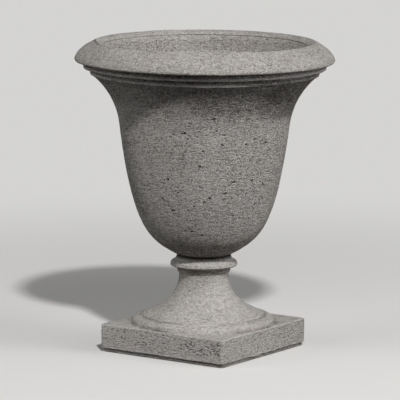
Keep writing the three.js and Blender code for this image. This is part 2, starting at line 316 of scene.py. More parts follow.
# Bowl. Where a size is a pair, it is a width and a height.
bowlSizes = {
    "seat": 228,
    "spigotRadius": 45,
    "spigotLength": 20,
    "spigotChamfer": 3,
    "seatRadius": 64,
    "seatChamfer": 0.5,
    "boreRadius": 17.1,
    "wall": 40,
    "floor": 46,
    "floorFall": 3,
    "waistRadius": 198,
    "waistHeight": 290,
    "flareRadius": 265,
    "flareHeight": 137,
    "bellyShares": [(0.482, 0.124), (0.761, 0.187)],
    "flareShares": [(0.032, 0.111), (0.03, 0.588)],
    "lowerFillet": (4, 8),
    "filletGroove": (6, 7),
    "upperFillet": (16, 7.5),
    "quirk": (6, 7),
    "rimRadius": 305.25,
    "rollLip": (12, 6),
    "rollHeight": 42.4,
    "rollShares": [(0.93, 0.48), (0.14, 0.93)],
    "crestRadius": 260,
    "lipRadius": 240,
    "lipDrop": 8.3,
    "lipShares": [(0.62, 0.1), (0.3, 0.6)],
    "lipEdge": (1, 9),
    "lipGroove": (1.3, 1.4, 3.8),  # how deep, and from where to where below the lip
    "lipGrooveSlope": 0.5,
    "lipGrooveFoot": (0.3, 0.8),  # how far in and down the wall goes on below the groove
    "roundings": {"arris": 2.2, "corner": 1.5, "lip": 1.2, "groove": 0.4, "grooveFoot": 0.6,
                  "lipEdge": 3, "drain": 1.2, "seat": 1},
    "steps": {"belly": 40, "flare": 24, "rollLip": 8, "roll": 20, "lip": 8},
    "columns": 384,
    "drop": (0.0079, 0.003),  # it isn't quite level: the drop per length to the front and to the right
    "dropStart": 90,  # the lean sets in over this height above the seat
}


def bowlOutline(s):
    seat = s["seat"]
    soft = s["roundings"]
    steps = s["steps"]
    arris = soft["arris"]
    corner = soft["corner"]
    top = s["waistHeight"] + s["flareHeight"]
    waist = (s["waistRadius"], s["waistHeight"])
    body = curveBetween((s["seatRadius"], s["seatChamfer"]), waist, s["bellyShares"], steps["belly"])
    body += curveBetween(waist, (s["flareRadius"], top), s["flareShares"], steps["flare"])[1:]
    lowerRadius = s["flareRadius"] + s["lowerFillet"][0]
    lowerTop = top + s["lowerFillet"][1]
    grooveRadius = lowerRadius - s["filletGroove"][0]
    grooveTop = lowerTop + s["filletGroove"][1]
    upperRadius = lowerRadius + s["upperFillet"][0]
    upperTop = grooveTop + s["upperFillet"][1]
    quirkRadius = upperRadius - s["quirk"][0]
    quirkTop = upperTop + s["quirk"][1]
    rim = [
        (lowerRadius, top, arris), (lowerRadius, lowerTop, arris),
        (grooveRadius, lowerTop, corner), (grooveRadius, grooveTop, corner),
        (upperRadius, grooveTop, arris), (upperRadius, upperTop, arris),
        (quirkRadius, upperTop, corner), (quirkRadius, quirkTop, corner),
    ]
    shoulder = (s["rimRadius"], quirkTop + s["rollLip"][1])
    crest = (s["crestRadius"], shoulder[1] + s["rollHeight"])
    lip = (s["lipRadius"], crest[1] - s["lipDrop"])
    lipFoot = (shoulder[0] - s["rollLip"][0], shoulder[1])
    rim += arcBetween(lipFoot, *s["rollLip"], -90, 0, steps["rollLip"])
    rim += curveBetween(shoulder, crest, s["rollShares"], steps["roll"])[1:]
    rim += curveBetween(crest, lip, s["lipShares"], steps["lip"])[1:-1]
    deep, below, end = s["lipGroove"]
    footIn, footDown = s["lipGrooveFoot"]
    rim += [
        (*lip, soft["lip"]), (lip[0], lip[1] - below, soft["groove"]),
        (lip[0] + deep, lip[1] - below - s["lipGrooveSlope"], soft["groove"]),
        (lip[0] + deep, lip[1] - end, soft["groove"]),
        (lip[0] - footIn, lip[1] - end - footDown, soft["grooveFoot"]),
        (lip[0] - s["lipEdge"][0], lip[1] - s["lipEdge"][1], soft["lipEdge"]),
    ]
    inside = [spot for spot in insetLine(body, s["wall"]) if spot[1] > s["floor"] + s["floorFall"]]
    drainEdge = (s["boreRadius"], s["floor"] - s["floorFall"], soft["drain"])
    spigotFoot = -s["spigotLength"]
    line = [
        (s["boreRadius"], spigotFoot, soft["seat"]),
        (s["spigotRadius"] - s["spigotChamfer"], spigotFoot, corner),
        (s["spigotRadius"], spigotFoot + s["spigotChamfer"], corner), (s["spigotRadius"], 0, corner),
        (s["seatRadius"] - s["seatChamfer"], 0, soft["seat"]),
    ]
    line += body + rim + inside[::-2] + [drainEdge]
    return [(spot[0], spot[1] + seat, spot[2]) for spot in line]


# The longest that a face may be: short at the rim's crest, long where little shows
bowlSpacings = {
    "belowSeat": 6,
    "crest": 1.3,
    "crestRadii": (246, 266),
    "crestFrom": 726,
    "inside": 9,
    "insideHeights": (270, 722),
    "insideRadius": 236,
    "insideDepth": 15,
    "elsewhere": 3.4,
}


def bowlSpacing(radius, height):
    s = bowlSpacings
    if height < bowlSizes["seat"]:
        return s["belowSeat"]
    if s["crestRadii"][0] < radius < s["crestRadii"][1] and height > s["crestFrom"]:
        return s["crest"]
    insideFrom, insideTo = s["insideHeights"]
    farIn = radius < min(s["insideRadius"], np.interp(height, outerHeights, outerRadii) - s["insideDepth"])
    return s["inside"] if insideFrom < height < insideTo and farIn else s["elsewhere"]


# The mould's two rim halves didn't quite meet: the nearer one sinks to the seam, and the crack along it is
# coloured dark as painted shade.
# Places along the seam are given in degrees to the front of its angle.
rimSeam = {
    "angle": -145.3,
    "path": [(240, 28), (254, 28), (255, 20), (256, 8), (257, 0), (260.5, -6)],  # radius, degrees
    "slantHeights": (640, 715),
    "slantWidth": 35,
    "columns": (-0.9, -0.45, -0.18, 0.0, 0.18, 0.45, 0.9),
    "topHeights": (708, 722),
    "topReach": (235, 238),
    "slope": (285, 264),  # the sinking grows over these radii
    "nearSink": (3.6, 16),  # how far, and over how many degrees it fades
    "farSink": (2.0, 70),
    "farLift": (0.8, 7),
    "meeting": (-0.2, 0.2),
    "gap": 1.6,
    "gapWidth": (0.9, 0.15),
    "gapReach": (268, 262),
    "line": [(-6, 260), (0, 258), (7, 258), (15, 261), (20, 263.5), (24, 263), (30, 262)],  # degrees, radius
    "lineEnds": (-12, -4, 20, 33),
    "lineWidth": (-0.6, 0.2, 1, 3),
    "ragged": (0.6, 0.6, 6, 5),
}


def slantedAngles(outline, angles, s):
    # near the rim's seam the columns turn with it, from the outer slope in to the lip
    radii, heights = np.array([spot[:2] for spot in outline]).T
    turned = np.interp(radii, *zip(*s["path"])) * smoothStep(*s["slantHeights"], heights)
    away = wrapped(np.degrees(angles) - s["angle"])
    return angles + np.radians(turned)[:, None] * np.exp(-(away / s["slantWidth"]) ** 2)


def faded(depth, away):
    return depth[0] * np.exp(-np.abs(away) / depth[1])


def seamShift(rings, angles, s):
    away = wrapped(np.degrees(angles) - s["angle"])[None, :]
    reach = reachOf(rings)
    onTop = smoothStep(*s["topHeights"], rings[..., 2]) * smoothStep(*s["topReach"], reach)
    near = smoothStep(*s["meeting"], away)
    farSink = faded(s["farSink"], away) - faded(s["farLift"], away)
    sink = near * faded(s["nearSink"], away) + (1 - near) * farSink
    uneven = ragged(rings, s)
    gap = s["gap"] * uneven * smoothStep(*s["gapWidth"], np.abs(away)) * smoothStep(*s["gapReach"], reach)
    shifted = rings.copy()
    shifted[..., 2] -= onTop * (smoothStep(*s["slope"], reach) * sink + gap)
    turned = wrapped(np.degrees(np.arctan2(rings[..., 1], rings[..., 0])) - s["angle"])
    behind = np.interp(turned, *zip(*s["line"])) - reach
    # the gap and the line of the crack are coloured dark: painted shade in the crack
    dark = within(s["lineEnds"], turned) * uneven * within(s["lineWidth"], behind)
    return shifted, onTop * np.maximum(gap / s["gap"], dark)


def outOfLevel(rings, s):
    turn = math.radians(cameraSettings["azimuth"])
    front = rings[..., 0] * math.sin(turn) - rings[..., 1] * math.cos(turn)
    side = rings[..., 0] * math.cos(turn) + rings[..., 1] * math.sin(turn)
    share = smoothStep(s["seat"], s["seat"] + s["dropStart"], rings[..., 2])
    lowered = rings.copy()
    lowered[..., 2] -= share * (s["drop"][0] * front + s["drop"][1] * side)
    return lowered


bowlWear = {
    "swells": [(95, 0.55), (38, 0.35), (15, 0.22), (8, 0.16)],  # size of the waves and their height
    "edgeWear": 0.25,
    "edgeChips": 0.9,
}

bowlLine = softened(bowlOutline(bowlSizes))
peak = max(range(len(bowlLine)), key=lambda i: bowlLine[i][1])
seatEdge = bowlSizes["seat"] + bowlSizes["seatChamfer"]
seatPoint = min(range(len(bowlLine)), key=lambda i: (abs(bowlLine[i][1] - seatEdge), -bowlLine[i][0]))
outerHeights = [spot[1] for spot in bowlLine[seatPoint:peak]]
outerRadii = [spot[0] for spot in bowlLine[seatPoint:peak]]
bowlLine = divided(bowlLine, bowlSpacing)
bowlAngles = np.linspace(-180, 180, bowlSizes["columns"], endpoint=False)
bowlAngles = np.concatenate([bowlAngles, rimSeam["angle"] + np.array(rimSeam["columns"])])
bowlAngles = np.radians(np.sort(bowlAngles))
bowlRings = turnedRings(bowlLine, slantedAngles(bowlLine, bowlAngles, rimSeam))
bowlEdges = np.repeat(np.array([spot[2] for spot in bowlLine])[:, None], len(bowlAngles), axis=1)
bowlRings, bowlWorn = weather(bowlRings, bowlEdges, bowlWear)
bowlRings, seamShade = seamShift(bowlRings, bowlAngles, rimSeam)
bowlRings = outOfLevel(bowlRings, bowlSizes)


# Painted shade, the stone coloured darker where shade falls, is given by its share and, in millimetres or
# degrees, where it starts, is full, is still full and ends
bowlPaintedShade = {
    "depth": 12,  # only this much of the outer skin takes it
    # painted shade in the quirk under the roll
    "quirk": (0.35, (676.5, 678, 684.5, 686)),
    "quirkReach": 290,
    # painted shade round the joint with the foot, on the underside, under the rim and in the groove between
    # the fillets
    "rings": [
        (0.75, (220, 221, 229, 235)),  # joint
        (0.26, (225, 228, 250, 300)),  # underside
        (0.18, (585, 612, 645, 662)),  # under the rim
        (0.25, (662, 664, 669, 671)),  # groove between the fillets
    ],
    # painted shade in patches: a half shadow under the rim in front, and deeper shade under the rim and on
    # the lower fillet towards the right
    "shadePatches": [  # patches, with the degrees to the right of the front
        (0.32, (568, 590, 630, 650), (-16, 0, 36, 50)),
        (0.42, (556, 574, 645, 655), (30, 46, 80, 95)),
        (0.42, (648, 651, 661, 664), (10, 34, 80, 95)),
    ],
}
# Painted highlights on the fillets' lower edges in front, given in the same way as the patches of painted
# shade
paintedHighlights = [
    (6, (652.5, 654, 656, 658.5), (-42, -12, 8, 30)),
    (6.5, (667, 669, 671, 673.5), (-48, -14, 40, 62)),
]
bowlTexture = {
    "rimHeights": (676, 694),
    "rimReach": (238, 241),
    "rough": 1.52,
    "rimSmoother": 0.5,
    "pale": 0.42,
}


def patches(rings, places):
    beside = rightOfFront(rings)
    heights = rings[..., 2]
    return sum(share * within(limits, heights) * within(sides, beside) for share, limits, sides in places)


# the bowl's painted shade, on its outer skin only
def bowlShadeMask(rings, s):
    heights = rings[..., 2]
    reach = reachOf(rings)
    outside = reach > np.interp(heights, outerHeights, outerRadii) - s["depth"]
    darkening = s["quirk"][0] * within(s["quirk"][1], heights) * (reach < s["quirkReach"])
    for share, limits in s["rings"]:
        darkening = darkening + share * within(limits, heights)
    return outside * (darkening + patches(rings, s["shadePatches"]))


def bowlMarks(rings, s):
    onRim = smoothStep(*s["rimHeights"], rings[..., 2]) * smoothStep(*s["rimReach"], reachOf(rings))
    return {
        "wear": bowlWorn,
        "paintedShade": np.maximum(seamShade, bowlShadeMask(rings, bowlPaintedShade)),
        "rough": s["rough"] - s["rimSmoother"] * onRim,
        # pale: a lighter tone for the body, and the painted highlights on the fillets' edges
        "pale": s["pale"] * (1 - onRim) + patches(rings, paintedHighlights),
    }


bowl = gridObject("bowlCasting", bowlRings, bowlMarks(bowlRings, bowlTexture))

# Air holes: those in front listed as (degrees to the right, height, width), the rest at random
frontHoles = [
    (46, 512, 8), (22, 423, 7), (-27, 428, 7), (-1, 498, 6), (-13, 539, 8), (50, 558, 6), (29, 511, 6),
    (16, 397, 7), (36, 522, 7), (-8, 366, 5), (44, 365, 6), (45, 434, 4), (13, 535, 6), (37, 424, 6),
    (-21, 536, 5), (-30, 427, 5), (-23, 455, 5), (-3, 462, 6), (0, 376, 6), (6, 574, 7), (12, 512, 6),
    (-41, 434, 5), (42, 440, 5), (-34, 381, 6), (4, 386, 7), (-51, 406, 5), (-13, 495, 6), (8, 545, 5),
    (-11, 304, 6), (24, 342, 6), (-2, 412, 4), (-25, 354, 7), (-2, 294, 6), (15, 383, 5), (49, 413, 5),
    (-20, 410, 6), (-13, 356, 5), (59, 327, 5), (41, 516, 5), (-22, 500, 4), (-50, 521, 5), (52, 441, 4),
]
bowlHoles = {
    "seed": 12,
    "heights": (285, 600),
    "frontHalf": 64,  # in front, up to so many degrees to either side, the random ones are small
    "front": 110,
    "frontWidths": (2.4, 4.0),
    "around": 170,
    "widths": (3.0, 7.0),
    "flatness": 0.72,
    "unlikeness": (0.8, 1.2),
    "depthShare": 0.65,
    "pairedFrom": 6,  # a wider hole has a smaller one beside it
    "pairOffset": (0.5, 0.9),
    "pairWidths": (0.45, 0.7),
    "pairLift": 0.3,
    "pairFlatness": 0.8,
}


def holesOnBowl(byHand, s):
    chance = np.random.default_rng(s["seed"])
    facing = cameraSettings["azimuth"] - 90
    half = s["frontHalf"]
    spots = [(facing + angle, height, width) for angle, height, width in byHand]
    for count, start, end, widths in (
        (s["around"], half, 360 - half, s["widths"]),
        (s["front"], -half, half, s["frontWidths"]),
    ):
        for i in range(count):
            angle = facing + chance.uniform(start, end)
            spots.append((angle, chance.uniform(*s["heights"]), chance.uniform(*widths)))
    pits = []
    for angle, height, width in spots:
        radius = np.interp(height, outerHeights, outerRadii)
        turn = math.radians(angle)
        tall = width * s["flatness"] * chance.uniform(*s["unlikeness"])
        pits.append((*onCircle(radius, turn), height, width, tall, width * s["depthShare"]))
        if width > s["pairedFrom"]:
            turn += chance.choice([-1, 1]) * chance.uniform(*s["pairOffset"]) * width / radius
            width *= chance.uniform(*s["pairWidths"])
            height += chance.uniform(-s["pairLift"], s["pairLift"]) * width
            tall = s["pairFlatness"] * width
            pits.append((*onCircle(radius, turn), height, width, tall, width * s["depthShare"]))
    return pits


carve(bowl, holesOnBowl(frontHoles, bowlHoles))
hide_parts("bowl")
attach(bowl, "bowl")
print("bowl built:", len(bowl.data.polygons), "faces,", len(bowlLine), "rings")


# Foot: stem, mouldings and plinth in one skin. Its columns are spaced evenly round the plinth.
footSizes = {
    "half": 174.5,
    "cornerRadius": 6,
    "cornerShrink": 0.3,
    "leastCorner": 2,
    "brinkCorner": 5,
    "edgeRound": 3.5,
    "stepHeight": 8.5,
    "stepInset": 5,
    "plinthTop": 66,
    "quarterRound": (21.5, 16),
    "riser": (2, 2.5),
    "apron": (41.5, 19),
    "stemRadius": 58.5,
    "stemFlareHeight": 73.5,
    "stemStraight": 10.5,
    "stemShares": [(0.42, 0.26), (0, 0.61)],
    "stemTopDip": 1,
    "neckBand": (4, 9.5),
    "collarRadius": 79.4,
    "collarTilt": 1.2,
    "collarUndercut": (14, 3),
    "collarEdge": (4.5, 4.5),
    "collarArris": 0.8,
    "collarEdgeHeight": 4,
    "neckRadius": 64,
    "coveHeight": 16.5,
    "coveShares": [(1, 0.34), (0.13, 0.28)],
    "socketRadius": 46.5,
    "socketFloor": 204,
    "boreRadius": 24.6,
    "baseMargin": 4.5,
    "roundings": {"socket": 1, "mouth": 1.2, "collar": 1, "band": 1.2, "apron": 2, "riser": 1.5},
    "steps": {"cove": 10, "stem": 26, "quarterRound": 12, "plinthTop": 14, "edge": 5, "side": 18,
              "under": 15, "bore": 15},
    "sideColumns": 92,
    "cornerColumns": 8,
    "shownSpacing": 3,  # the longest that a face may be, and so in the socket
    "socketSpacing": 5,
    "socketWithin": (50, 203),  # the socket's faces lie inside this radius and above this height
    "flatUnder": (0.3, 1.5),  # the underside stays flat up to here
}


def roundedSquare(s, half, corner):
    # points of a square with rounded corners, evenly spaced along each side, from the +X side round
    flat = half - corner
    side = [(half, -flat + 2 * flat * i / s["sideColumns"]) for i in range(s["sideColumns"])]
    bends = np.linspace(0, math.pi / 2, s["cornerColumns"] + 1)[:-1]
    side += [(flat + corner * math.cos(a), flat + corner * math.sin(a)) for a in bends]
    points = []
    for k in range(4):
        turn = k * math.pi / 2
        for x, y in side:
            points.append((x * math.cos(turn) - y * math.sin(turn), x * math.sin(turn) + y * math.cos(turn)))
    return np.array(points)


def footOutline(s):
    soft = s["roundings"]
    steps = s["steps"]
    riserRadius = s["half"] - s["baseMargin"] - s["quarterRound"][0]
    riserFoot = s["plinthTop"] + s["quarterRound"][1]
    apronRadius = riserRadius - s["riser"][0]
    apronFoot = riserFoot + s["riser"][1]
    knee = (apronRadius - s["apron"][0], apronFoot + s["apron"][1])
    flareTop = knee[1] + s["stemFlareHeight"]
    stemTop = flareTop + s["stemStraight"]
    bandRadius = s["stemRadius"] + s["neckBand"][0]
    bandTop = stemTop + s["neckBand"][1]
    collarFoot = bandTop + s["collarUndercut"][1]
    bevel = s["collarEdge"]
    collarTop = collarFoot + bevel[1] + s["collarEdgeHeight"]
    top = collarTop + s["coveHeight"]
    coveFoot = (s["collarRadius"] - s["collarTilt"], collarTop)
    line = [(s["socketRadius"], s["socketFloor"], soft["socket"]), (s["socketRadius"], top, soft["mouth"])]
    line += curveBetween(coveFoot, (s["neckRadius"], top), s["coveShares"], steps["cove"])[::-1]
    line += [
        (s["collarRadius"], collarFoot + bevel[1] - s["collarArris"], s["collarArris"]),
        (s["collarRadius"] - bevel[0], collarFoot, soft["collar"]),
        (s["collarRadius"] - s["collarUndercut"][0], bandTop, soft["collar"]),
        (bandRadius, bandTop, soft["band"]), (bandRadius, stemTop, soft["band"]),
        (s["stemRadius"], stemTop - s["stemTopDip"], soft["band"]),
    ]
    line += curveBetween(knee, (s["stemRadius"], flareTop), s["stemShares"], steps["stem"])[::-1]
    line += [(apronRadius, apronFoot, soft["apron"]), (riserRadius, riserFoot, soft["riser"])]
    line += arcBetween((riserRadius, s["plinthTop"]), *s["quarterRound"], 90, 0, steps["quarterRound"])[1:]
    return line


def footSpacing(radius, height):
    inSocket = radius <= footSizes["socketWithin"][0] and height >= footSizes["socketWithin"][1]
    return footSizes["socketSpacing"] if inSocket else footSizes["shownSpacing"]


def atHeight(plan, height):
    return np.column_stack([plan, np.full(len(plan), height)])


def footRings(s):
    angles = np.arctan2(*roundedSquare(s, s["half"], s["cornerRadius"]).T[::-1])
    steps = s["steps"]
    outline = softened([(s["boreRadius"], s["socketFloor"], s["roundings"]["socket"])] + footOutline(s))
    outline = divided(outline, footSpacing)
    # the outline is open: drop what closes it across the plinth's top
    last = max(range(len(outline)), key=lambda i: (outline[i][0], -outline[i][1]))
    outline = outline[:last + 1]
    rings = list(turnedRings(outline, angles))
    edges = [spot[2] for spot in outline]
    inner = rings[-1][:, :2]
    rounding = s["edgeRound"]
    top = s["plinthTop"]
    low = s["stepHeight"]
    brink = roundedSquare(s, s["half"] - rounding, s["brinkCorner"])
    for share in np.linspace(0, 1, steps["plinthTop"] + 1)[1:]:
        rings.append(atHeight(inner * (1 - share) + brink * share, top))
        edges.append(0.0)
    bends = np.linspace(0, math.pi / 2, steps["edge"] + 1)[1:]
    profile = [(rounding * (1 - math.sin(a)), rounding * (1 - math.cos(a)), math.sin(2 * a)) for a in bends]
    sides = [(inset, top - drop, wear) for inset, drop, wear in profile]
    levels = np.linspace(top - rounding, low + rounding, steps["side"] + 1)[1:-1]
    sides += [(0, height, 0.0) for height in levels]
    sides += [(inset, low + drop, wear) for inset, drop, wear in profile[::-1]]
    sides += [(rounding, low, 0.0)] + [(s["stepInset"], height, 0.0) for height in (low, low / 2, 0)]
    for inset, height, wear in sides:
        corner = max(s["cornerRadius"] - inset * s["cornerShrink"], s["leastCorner"])
        rings.append(atHeight(roundedSquare(s, s["half"] - inset, corner), height))
        edges.append(wear)
    under = rings[-1]
    bore = turnedRings([(s["boreRadius"], 0.0)], angles)[0]
    inward = [under * (1 - share) + bore * share for share in np.linspace(0, 1, steps["under"] + 1)[1:]]
    upward = [bore + (0, 0, height) for height in np.linspace(0, s["socketFloor"], steps["bore"] + 1)[1:-1]]
    rings += inward + upward
    edges += [0.0] * (len(inward) + len(upward))
    return np.array(rings), np.repeat(np.array(edges)[:, None], len(angles), axis=1)


footWear = {
    "swells": [(80, 0.5), (32, 0.35), (14, 0.25), (7, 0.16)],
    "edgeWear": 0.5,
    "edgeChips": 1.3,
}
footPaintedShade = {
    "neckFrom": 55,  # the socket inside this radius stays clean
    # painted shade below the joint with the bowl and on the band under the collar
    "neck": [(0.75, (218, 224.5, 230, 231)), (0.3, (184, 188, 202, 204))],  # joint and band
    # painted shade in the moulding's riser and at its foot on the plinth
    "base": [  # the moulding's riser and its foot, with their radii
        (0.36, (80.5, 82.5, 85, 87), (142, 144, 150, 152)),
        (0.36, (64, 65, 67, 77), (150, 155, 172, 180)),
    ],
    "ragged": (0.8, 0.4, 22, 6),
    "unshadedFront": 25,  # the painted shade is left off the moulding within about so many degrees of the front
}
footTexture = {
    "plinthHeights": (66, 62),
    "rough": 0.95,
    "plinthRougher": 0.32,
    "pale": 1,
    # the plinth's front side is coloured paler: painted light on that side
    "paintedSideLight": 1.6,
    "sideFrom": (-171, -174),
}


def footShadeMask(rings, s):
    heights = rings[..., 2]
    reach = reachOf(rings)
    neck = sum(share * within(limits, heights) for share, limits in s["neck"]) * (reach > s["neckFrom"])
    base = sum(share * within(limits, heights) * within(radii, reach) for share, limits, radii in s["base"])
    unshaded = np.exp(-(rightOfFront(rings) / s["unshadedFront"]) ** 2)
    return neck + base * ragged(rings, s) * (1 - unshaded)


def footMarks(rings, s):
    onPlinth = smoothStep(*s["plinthHeights"], rings[..., 2])
    return {
        "wear": footWorn,
        "paintedShade": footShadeMask(rings, footPaintedShade),
        "pale": s["pale"] + s["paintedSideLight"] * smoothStep(*s["sideFrom"], rings[..., 1]) * onPlinth,
        "rough": s["rough"] + s["plinthRougher"] * onPlinth,
    }


plainFoot, footEdges = footRings(footSizes)
wornFoot, footWorn = weather(plainFoot, footEdges, footWear)
taken = smoothStep(*footSizes["flatUnder"], plainFoot[..., 2])
wornFoot = plainFoot + (wornFoot - plainFoot) * taken[..., None]
# its rings run from the socket out and down, so they go in backwards to face outward
turnedOver = {key: values[::-1] for key, values in footMarks(plainFoot, footTexture).items()}
foot = gridObject("footCasting", wornFoot[::-1], turnedOver)

# The plinth's side that faces the front is full of small air holes, most of all near its right corner
plinthHoles = {
    "seed": 5,
    "front": 250,
    "others": 80,
    "widths": (2.1, 4.5),
    "flatness": 0.75,
    "depthShare": 0.5,
    "margins": (7, 5),  # above the step and below the top
    "frontEnd": 0.95,
    "crowding": 1.9,
    "lift": 0.35,
    "othersEnd": 0.93,
}


def holesOnPlinth(s, sizes):
    chance = np.random.default_rng(s["seed"])
    half = sizes["half"]
    lowest = sizes["stepHeight"] + s["margins"][0]
    highest = sizes["plinthTop"] - s["margins"][1]
    pits = []
    for i in range(s["front"] + s["others"]):
        width = chance.uniform(*s["widths"])
        height = chance.uniform(lowest, highest)
        if i < s["front"]:
            along = half * s["frontEnd"] * (1 - 2 * chance.uniform(0, 1) ** s["crowding"])
            height = height + (highest - height) * s["lift"] * chance.uniform(0, 1)
            spot = (along, -half)
        else:
            along = half * chance.uniform(-s["othersEnd"], s["othersEnd"])
            spot = [(half, along), (-half, along), (along, half)][i % 3]
        pits.append((*spot, height, width, width * s["flatness"], width * s["depthShare"]))
    return pits


carve(foot, holesOnPlinth(plinthHoles, footSizes))
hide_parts("foot")
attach(foot, "foot")
print("foot built:", len(foot.data.polygons), "faces,", len(plainFoot), "rings")


# Materials. A noise is given by its scale, detail and roughness.
def addNode(tree, kind, inputs=None, **settings):
    made = tree.nodes.new(kind)
    for key, value in settings.items():
        setattr(made, key, value)
    for key, value in (inputs or {}).items():
        if isinstance(value, bpy.types.NodeSocket):
            tree.links.new(value, made.inputs[key])
        else:
            made.inputs[key].default_value = value
    return made


def newMaterial(name):
    material = bpy.data.materials.new(name)
    material.use_nodes = True
    tree = material.node_tree
    tree.nodes.clear()
    shader = tree.nodes.new("ShaderNodeBsdfPrincipled")
    output = tree.nodes.new("ShaderNodeOutputMaterial")
    tree.links.new(shader.outputs[0], output.inputs["Surface"])
    return material, tree, shader


def onPiece(tree):
    return addNode(tree, "ShaderNodeTexCoord").outputs["Object"]


def stretched(tree, place, upward):
    return addNode(tree, "ShaderNodeMapping", {"Vector": place, "Scale": (1, 1, upward)}).outputs[0]


def calculate(tree, operation, first, second, clamp=False):
    made = addNode(tree, "ShaderNodeMath", {0: first, 1: second}, operation=operation, use_clamp=clamp)
    return made.outputs[0]


def plus(tree, total, value, share, clamp=False):
    return calculate(tree, "ADD", calculate(tree, "MULTIPLY", value, share), total, clamp)


def ramp(tree, factor, stops):
    made = addNode(tree, "ShaderNodeValToRGB", {"Fac": factor})
    elements = made.color_ramp.elements
    while len(elements) < len(stops):
        elements.new(0.5)
    for element, (place, colour) in zip(elements, stops):
        element.position = place
        element.color = (*colour, 1)
    return made.outputs["Color"]


def noise(tree, place, scale, detail, rough=0.5):
    inputs = {"Vector": place, "Scale": scale, "Detail": detail, "Roughness": rough}
    return addNode(tree, "ShaderNodeTexNoise", inputs).outputs[0]


def spread(tree, value, low, high, toLow=0.0, toHigh=1.0):
    inputs = {"Value": value, "From Min": low, "From Max": high, "To Min": toLow, "To Max": toHigh}
    return addNode(tree, "ShaderNodeMapRange", inputs).outputs[0]


def addBump(tree, shader, height, strength, distance):
    inputs = {"Strength": strength, "Distance": distance * mm, "Height": height}
    bump = addNode(tree, "ShaderNodeBump", inputs)
    tree.links.new(bump.outputs[0], shader.inputs["Normal"])


noiseMiddle = 0.5
stoneFinish = {
    "colours": [
        (0.0, (0.075, 0.068, 0.060)),
        (0.26, (0.225, 0.211, 0.196)),
        (0.5, (0.395, 0.373, 0.350)),
        (0.8, (0.60, 0.570, 0.544)),
    ],
    "flattening": 2.1,
    "patches": (8, 3),
    "mottle": (80, 3, 0.6),
    "grain": (190, 2, 0.6),
    "fine": (340, 1, 0.6),
    "fineLimits": (0.3, 0.7),
    "streaks": (34, 3, 0.6),
    "streakFlattening": 8,
    "wobbleScale": 300.0,
    "wobble": 0.006,
    "poreFlattening": 1.6,
    "poreScale": 95,
    "poreSizes": (0.55, 1.0, 0.0, 0.30),
    "tones": (0.5, 0.65, 0.45, 0.35),  # fine, grain, mottle, streaks
    "middleTone": 0.5,
    "patchTone": 0.25,
    # paintedShade and hole darken the stone as painted shade; pale also carries painted highlights and
    # painted side light
    "marks": {"wear": 0.17, "pale": 0.055, "pores": -0.36, "hole": -0.62, "paintedShade": -0.6},
    "relief": (0.8, 1.4, 1.4, 1.4, -0.8),  # fine, grain, mottle, streaks, pores
    "bump": (1.0, 1.0),  # strength and millimetres
    "roughness": 0.93,
    "specular": 0.25,
}


def castStone(name, s):
    material, tree, shader = newMaterial(name)
    place = onPiece(tree)
    flattened = stretched(tree, place, s["flattening"])
    layered = stretched(tree, place, s["streakFlattening"])
    clouds = noise(tree, place, *s["patches"])
    mottle = noise(tree, flattened, *s["mottle"])
    grain = noise(tree, flattened, *s["grain"])
    fine = spread(tree, noise(tree, flattened, *s["fine"]), *s["fineLimits"])
    streaks = noise(tree, layered, *s["streaks"])
    cloud = {"Vector": place, "Scale": s["wobbleScale"]}
    wobble = addNode(tree, "ShaderNodeTexNoise", cloud).outputs["Color"]
    wobble = addNode(tree, "ShaderNodeVectorMath", {0: wobble, 3: s["wobble"]}, operation="SCALE").outputs[0]
    shifted = addNode(tree, "ShaderNodeVectorMath", {0: place, 1: wobble}, operation="ADD").outputs[0]
    shifted = stretched(tree, shifted, s["poreFlattening"])
    pore = addNode(tree, "ShaderNodeTexVoronoi", {"Vector": shifted, "Scale": s["poreScale"]})
    poreSize = spread(tree, pore.outputs["Color"], *s["poreSizes"])
    marks = {"pores": calculate(tree, "LESS_THAN", pore.outputs["Distance"], poreSize)}
    for key in ("wear", "hole", "paintedShade", "pale", "rough"):
        marks[key] = addNode(tree, "ShaderNodeAttribute", attribute_name=key).outputs["Fac"]
    tone = 0.0
    for value, share in zip((fine, grain, mottle, streaks), s["tones"]):
        tone = plus(tree, tone, calculate(tree, "SUBTRACT", value, noiseMiddle), share)
    tone = plus(tree, s["middleTone"], tone, marks["rough"])
    tone = plus(tree, tone, calculate(tree, "SUBTRACT", clouds, noiseMiddle), s["patchTone"])
    for key, share in s["marks"].items():
        tone = plus(tree, tone, marks[key], share, clamp=key == "paintedShade")
    relief = 0.0
    for value, share in zip((fine, grain, mottle, streaks, marks["pores"]), s["relief"]):
        relief = plus(tree, relief, value, share)
    relief = calculate(tree, "MULTIPLY", relief, marks["rough"])
    tree.links.new(ramp(tree, tone, s["colours"]), shader.inputs["Base Color"])
    addBump(tree, shader, relief, *s["bump"])
    shader.inputs["Roughness"].default_value = s["roughness"]
    shader.inputs["Specular IOR Level"].default_value = s["specular"]
    return material


stone = castStone("castStone", stoneFinish)
for piece in (bowl, foot):
    piece.data.materials.append(stone)

